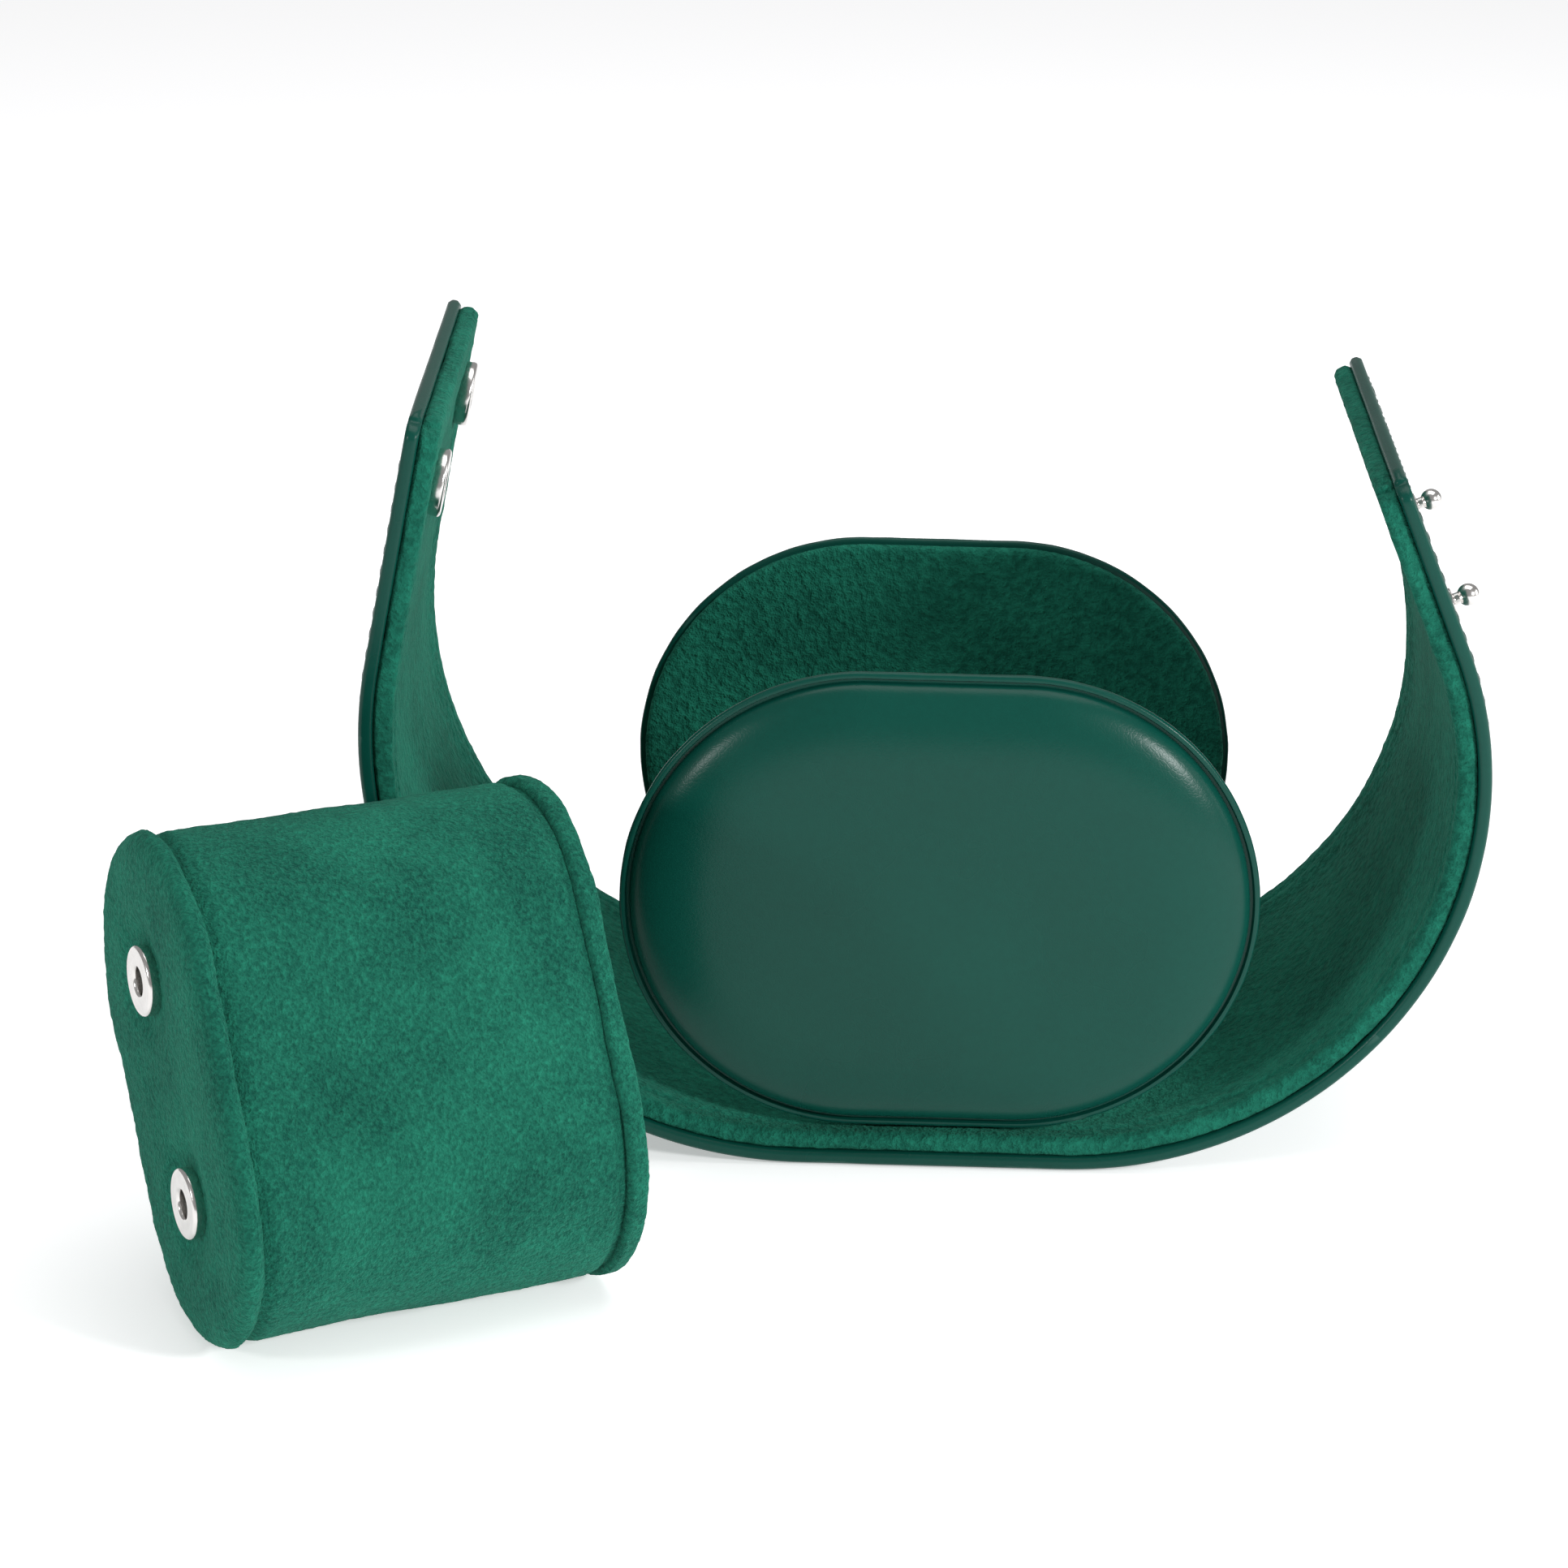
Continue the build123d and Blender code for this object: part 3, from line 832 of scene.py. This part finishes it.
panels = ((-1, "front_panel"), (1, "back_panel"))
for side, panel in panels:
    pad = slot_disc(
        f"{panel}_pad", panel_long - pad_smaller, panel_short - pad_smaller, pad_low, pad_face, 220
    )
    shape_face(pad, pad_face, crown)
    ruffle(pad, "pad_waves", size=0.02, depth=0.00014)
    turned_edge = slot_disc(
        f"{panel}_turned_edge", panel_long, panel_short, turned_low, turned_face, 200
    )
    start_edit(turned_edge)
    choose(
        turned_edge,
        "edges",
        lambda co, part: abs(part.verts[0].co.z - part.verts[1].co.z) < 1e-7,
    )
    bpy.ops.mesh.bevel(offset=0.00055, segments=4)
    end_edit()
    shape_face(turned_edge, turned_face, turned_groove)
    ruffle(turned_edge, "edge_waves", size=0.006, depth=0.0002)
    inside = slot_disc(
        f"{panel}_lining",
        panel_long - suede_smaller,
        panel_short - suede_smaller,
        suede_face,
        suede_back,
        360,
    )
    shape_face(inside, suede_face, suede_rim + suede_flat)
    ruffle(inside, "panel_nap", size=0.0011, depth=0.0003)
    for piece, material, slot, cad_layer in (
        (pad, smooth_hide, "smooth_leather", "leather"),
        (turned_edge, smooth_hide, "smooth_leather", "board"),
        (inside, lining_suede, "suede", "suede"),
    ):
        stand_up(piece, side)
        pick(piece)
        bpy.ops.object.shade_smooth_by_angle(angle=math.radians(60))
        piece.data.materials.append(material)
        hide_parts(f"{panel}_{cad_layer}")
        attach(piece, panel)


# ---------------------------------------------------------------- hinge tapes
# A short tape of suede holds each panel's foot to the wrap. It is glued to the lining, where
# its free edge is tucked in, and folds up the panel's foot.
tape_width = 0.022
tape_reach = 0.007
tape_thickness = 0.0004
tape_low = strip_thickness - 0.0002
tape_top = tape_low + tape_thickness
tape_near = panel_inside - 0.0003
fold_depth = 0.0006
for side, panel in panels:
    bpy.ops.object.select_all(action="DESELECT")
    tape_place = (0, side * (tape_near - tape_reach / 2), tape_low + tape_thickness / 2)
    bpy.ops.mesh.primitive_cube_add(size=1, location=tape_place)
    tape = bpy.context.object
    tape.name = f"{panel}_tape"
    tape.scale = (tape_width, tape_reach, tape_thickness)
    settle(tape)
    start_edit(tape)
    bpy.ops.mesh.select_all(action="SELECT")
    bpy.ops.mesh.bisect(plane_co=(0, side * (tape_near - fold_depth), 0), plane_no=(0, 1, 0))
    choose(
        tape,
        "faces",
        lambda co, part: co.z > tape_top - 1e-5 and abs(co.y) > tape_near - fold_depth,
    )
    for rise in (0.0012, 0.0016, 0.0016):
        bpy.ops.mesh.extrude_region_move(TRANSFORM_OT_translate={"value": (0, 0, rise)})
    choose(tape, "verts", lambda co, part: abs(co.y) < tape_near - tape_reach + 0.001)
    bpy.ops.transform.translate(value=(0, 0, -0.0004))
    choose(
        tape,
        "edges",
        lambda co, part: part.calc_face_angle(0) > 0.5 and part.calc_length() > 0.001,
    )
    bpy.ops.mesh.bevel(offset=0.00012, segments=2)
    end_edit()
    tape.data.materials.append(lining_suede)
    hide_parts(f"{panel}_hinge_tape")
    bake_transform(tape)


# ---------------------------------------------------------------- cushion: sleeve
# A firm foam roll in a suede sleeve. The sleeve is drawn in under the seams at both ends, and
# is a little slack between them. The cushion lies loose before the wrap.
cushion_long = 0.075
cushion_short = 0.045
cushion_place = Matrix(
    (
        (-0.240578, 0.385006, 0.891007, -0.084000),
        (0.472162, -0.755616, 0.453990, -0.080511),
        (0.848048, 0.529919, 0.000000, 0.035821),
        (0, 0, 0, 1),
    )
)
cushion_suede = finish_material(
    "cushion_suede",
    nap,
    [("Light", (0.0145, 0.188, 0.119, 1)), ("Dark", (0.0018, 0.048, 0.035, 1)), ("Speck Scale", 1300.0)],
    bump_depth=0.0003,
    shader_values=suede_shader,
)


def lay_in_cushion(piece, cad_nodes):
    """Puts a finished piece of the cushion at its place on the floor, as padded suede."""
    piece.matrix_world = cushion_place
    settle(piece)
    pick(piece)
    bpy.ops.object.shade_smooth_by_angle(angle=math.radians(60))
    piece.data.materials.append(cushion_suede)
    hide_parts(*cad_nodes)
    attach(piece, "cushion")


def draw_in(piece, test, along, across):
    """Draws the chosen points of a cushion's piece in towards its long axis."""
    choose(piece, "verts", test)
    bpy.ops.transform.resize(value=(along, across, 1), center_override=(0, 0, 0))


seam = 0.0280
sleeve_end = seam + 0.0008
sleeve = slot_disc("cushion_roll", cushion_long, cushion_short, -sleeve_end, sleeve_end, 330)
start_edit(sleeve)
choose(sleeve, "edges", lambda co, part: abs(part.verts[0].co.z - part.verts[1].co.z) > seam)
bpy.ops.mesh.subdivide(number_cuts=67)
for reach, draw in ((0.0026, 0.994), (0.0017, 0.98), (0.0007, 0.96)):
    draw_in(sleeve, lambda co, part: abs(co.z) > sleeve_end - reach, draw, draw)
end_edit()
ruffle(sleeve, "roll_slack", size=0.022, depth=0.0011)
ruffle(sleeve, "roll_puckers", size=0.006, depth=0.00025)
ruffle(sleeve, "roll_nap", size=0.0011, depth=0.0003)
lay_in_cushion(sleeve, ("cushion_sleeve", "cushion_core"))


# ---------------------------------------------------------------- cushion: caps
# Two suede caps are sewn round the sleeve's rims, and stand a little past it. The cap with the
# sockets is padded, and drawn in round each ring. The other end is plain and flatter.
cushion_half = 0.0316
cap_overhang = 0.0006
cap_long = cushion_long + 2 * cap_overhang
cap_short = cushion_short + 2 * cap_overhang
socket_spacing = 0.033
cushion_rows = (-socket_spacing / 2, socket_spacing / 2)

cap_face = -cushion_half + 0.0026
cap_rim = [(0.0002, 0.0009), (0.0006, 0.0008), (0.0011, 0.0006), (0.0014, 0.0003), (0.0016, 0.0002)]
cap_dome = [(0.0011, 0.00002)] * 15
snap_cap = slot_disc("cushion_socket_cap", cap_long, cap_short, cap_face, -seam, 330)
shape_face(snap_cap, cap_face, cap_rim + cap_dome)
start_edit(snap_cap)
# a hollow round each ring, and a shallow one between the two
for along in cushion_rows:
    choose(
        snap_cap,
        "verts",
        lambda co, part: co.z < -cushion_half + 0.001 and math.hypot(co.x - along, co.y) < 0.0060,
    )
    bpy.ops.transform.translate(
        value=(0, 0, 0.0012),
        use_proportional_edit=True,
        proportional_edit_falloff="SMOOTH",
        proportional_size=0.0055,
    )
choose(
    snap_cap,
    "verts",
    lambda co, part: co.z < -cushion_half + 0.002 and max(abs(co.x), abs(co.y)) < 0.004,
)
bpy.ops.transform.translate(
    value=(0, 0, 0.0007),
    use_proportional_edit=True,
    proportional_edit_falloff="SMOOTH",
    proportional_size=0.012,
)
# the sewn edge is drawn in to the sleeve
draw_in(snap_cap, lambda co, part: co.z > -seam - 0.0004, along=0.978, across=0.966)
end_edit()
ruffle(snap_cap, "cap_padding", size=0.014, depth=0.0009)
ruffle(snap_cap, "cap_nap", size=0.0011, depth=0.0003)
cap_hole_middle = -cushion_half - 0.0009
cap_hole_depth = 0.008
for along in cushion_rows:
    cut_socket_hole(snap_cap, (along, 0, cap_hole_middle), cap_hole_depth)
lay_in_cushion(snap_cap, ("cushion_snap_cap", "cushion_snap_cap_board"))

plain_face = cushion_half - 0.0012
plain_rim = [(0.0002, 0.0005), (0.0004, 0.0003), (0.0006, 0.0002)]
plain_dome = [(0.0013, 0.00003)] * 14
plain_cap = slot_disc("cushion_plain_end", cap_long, cap_short, seam, plain_face, 330)
shape_face(plain_cap, plain_face, plain_rim + plain_dome)
start_edit(plain_cap)
choose(plain_cap, "edges", lambda co, part: abs(part.verts[0].co.z - part.verts[1].co.z) > 0.002)
bpy.ops.mesh.subdivide(number_cuts=3)
draw_in(plain_cap, lambda co, part: co.z < seam + 0.0004, along=0.976, across=0.964)
end_edit()
ruffle(plain_cap, "end_padding", size=0.012, depth=0.0007)
ruffle(plain_cap, "end_nap", size=0.0011, depth=0.0003)
lay_in_cushion(plain_cap, ("cushion_plain_cap", "cushion_plain_cap_board"))


# ---------------------------------------------------------------- snap rings
# Turned and plated steel: each socket shows a thick polished ring with a round hole. Two lie
# in the left arm's suede, and two in the cushion's cap. Each ring's skirt sinks into the suede.
plate, plate_in, plate_out = new_group(
    "polished_plate",
    [("Colour", "NodeSocketColor", (0.72, 0.7, 0.68, 1)), ("Marks", "NodeSocketFloat", 0.12)],
    [("Color", "NodeSocketColor"), ("Roughness", "NodeSocketFloat"), ("Height", "NodeSocketFloat")],
)
plate_place = new_node(plate, "ShaderNodeTexCoord").outputs["Object"]
plate_clouds = noise(plate, plate_place, 300.0, 4.0)
plate_scuffs = noise(plate, plate_place, 2500.0, 2.0)
plate_tint = spread(plate, plate_clouds, 0.3, 0.7, 0.88, 1.0)
plate_tint = blended(plate, plate_tint, black, white)
plate_colour = blended(plate, 1.0, plate_in.outputs["Colour"], plate_tint, "MULTIPLY")
plate_rough = weighed(plate, plate_scuffs, plate_in.outputs["Marks"], 0.14)
plate.links.new(plate_colour, plate_out.inputs["Color"])
plate.links.new(plate_rough, plate_out.inputs["Roughness"])
plate.links.new(plate_scuffs, plate_out.inputs["Height"])
plate_bump = 0.000006
polished_steel = finish_material("polished_steel", plate, [], plate_bump, [("Metallic", 1.0)])


def turned(name, profile, around=48, closed=False):
    """A turned metal part, made from its (radius, height) profile. A closed one has a hole."""
    bpy.ops.object.select_all(action="DESELECT")
    bpy.ops.mesh.primitive_circle_add(
        vertices=around,
        radius=profile[0][0],
        location=(0, 0, profile[0][1]),
        fill_type="NOTHING" if closed else "NGON",
    )
    part = bpy.context.object
    part.name = name
    settle(part)
    start_edit(part)
    bpy.ops.mesh.select_mode(type="EDGE" if closed else "FACE")
    bpy.ops.mesh.select_all(action="SELECT")
    for before, after in zip(profile[:-1], profile[1:]):
        bpy.ops.mesh.extrude_region_move(TRANSFORM_OT_translate={"value": (0, 0, after[1] - before[1])})
        ratio = after[0] / before[0]
        bpy.ops.transform.resize(value=(ratio, ratio, 1), center_override=(0, 0, 0))
    bpy.ops.mesh.select_all(action="SELECT")
    bpy.ops.mesh.remove_doubles(threshold=1e-6)
    bpy.ops.mesh.normals_make_consistent(inside=False)
    end_edit()
    pick(part)
    bpy.ops.object.shade_smooth_by_angle(angle=math.radians(35))
    return part


def rounded(radius, height, size, first, last, steps=5):
    """Points of a rounded edge of a profile, about a centre, from one angle to another."""
    angles = [math.radians(first + (last - first) * n / steps) for n in range(steps + 1)]
    return [(radius + size * math.cos(a), height + size * math.sin(a)) for a in angles]


def make_pair(name, profile, seats, closed, body, cad_node, arm=None):
    """Two like metal parts on their seats, joined as one piece, as one CAD node has both."""
    metal_parts = []
    for number, seat in enumerate(seats):
        part = turned(f"{name}_{number}", profile, closed=closed)
        part.matrix_world = seat
        settle(part)
        metal_parts.append(part)
    pair = join_all(metal_parts, name)
    if arm is not None:
        roll_up(pair, arm)
    pair.data.materials.append(polished_steel)
    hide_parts(cad_node)
    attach(pair, body)


ring_outside = 0.0053
ring_hole = 0.0021
ring_tall = 0.0018
ring_skirt = -0.0006
ring_profile = [(ring_outside - 0.0003, ring_skirt), (ring_outside - 0.0001, 0.0)]
ring_profile += rounded(ring_outside - 0.0006, ring_tall - 0.0006, 0.0006, 0, 90)
ring_profile += [(0.0040, ring_tall - 0.00008), (0.0036, ring_tall - 0.00012), (0.0033, ring_tall - 0.00006)]
ring_profile += rounded(ring_hole + 0.0005, ring_tall - 0.0005, 0.0005, 90, 180)
ring_profile += [(ring_hole, ring_skirt), ring_profile[0]]

face_down = Matrix.Rotation(math.radians(180), 4, "X")
strap_seats = [Matrix.Translation((-arms["left"]["snaps"], row, strip_thickness)) for row in strap_rows]
make_pair("strap_rings", ring_profile, strap_seats, True, "left_arm_6", "strap_snap_rings", arms["left"])
ring_seat = -cushion_half + 0.0006
cap_seats = [
    cushion_place @ Matrix.Translation((along, 0, ring_seat)) @ face_down for along in cushion_rows
]
make_pair("cushion_rings", ring_profile, cap_seats, True, "cushion", "cushion_snap_rings")


# ---------------------------------------------------------------- ball studs
# Turned and plated steel like the rings: a ball on a short neck and a flange. Two stand on the
# outside of the right arm, and two inside the back panel, where the cushion's sockets hold.
ball_height = 0.0027
ball_radius = 0.00175
stud_profile = [(0.0020, 0.0), (0.0020, 0.0002), (0.0019, 0.00034)]
stud_profile += [(0.00165, 0.0004), (0.00115, 0.00045), (0.00095, 0.0006)]
stud_profile += rounded(0.0, ball_height, ball_radius, -56, 86, 12)
stud_seats = [Matrix.Translation((arms["right"]["snaps"], row, 0)) @ face_down for row in strap_rows]
make_pair("strap_studs", stud_profile, stud_seats, False, "right_arm_6", "strap_snap_studs", arms["right"])
to_front = Matrix.Rotation(math.radians(90), 4, "X")
panel_seats = [Matrix.Translation((along, panel_inside, panel_middle)) @ to_front for along in cushion_rows]
make_pair("panel_studs", stud_profile, panel_seats, False, "back_panel", "panel_snap_studs")


# ---------------------------------------------------------------- hidden snap parts
# Behind each ring is a cup with a wire spring, and behind each stud a washer that it is riveted
# to. They are the CAD's own solids, and duller steel than the rings.
spring_steel = finish_material(
    "spring_steel",
    plate,
    [("Colour", (0.42, 0.41, 0.4, 1)), ("Marks", 0.25)],
    plate_bump,
    [("Metallic", 1.0)],
)
for cad_node in (
    "strap_snap_cups",
    "strap_snap_springs",
    "strap_stud_washers",
    "panel_stud_washers",
    "cushion_snap_cups",
    "cushion_snap_springs",
):
    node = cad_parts[cad_node]
    node.data.materials.clear()
    node.data.materials.append(spring_steel)
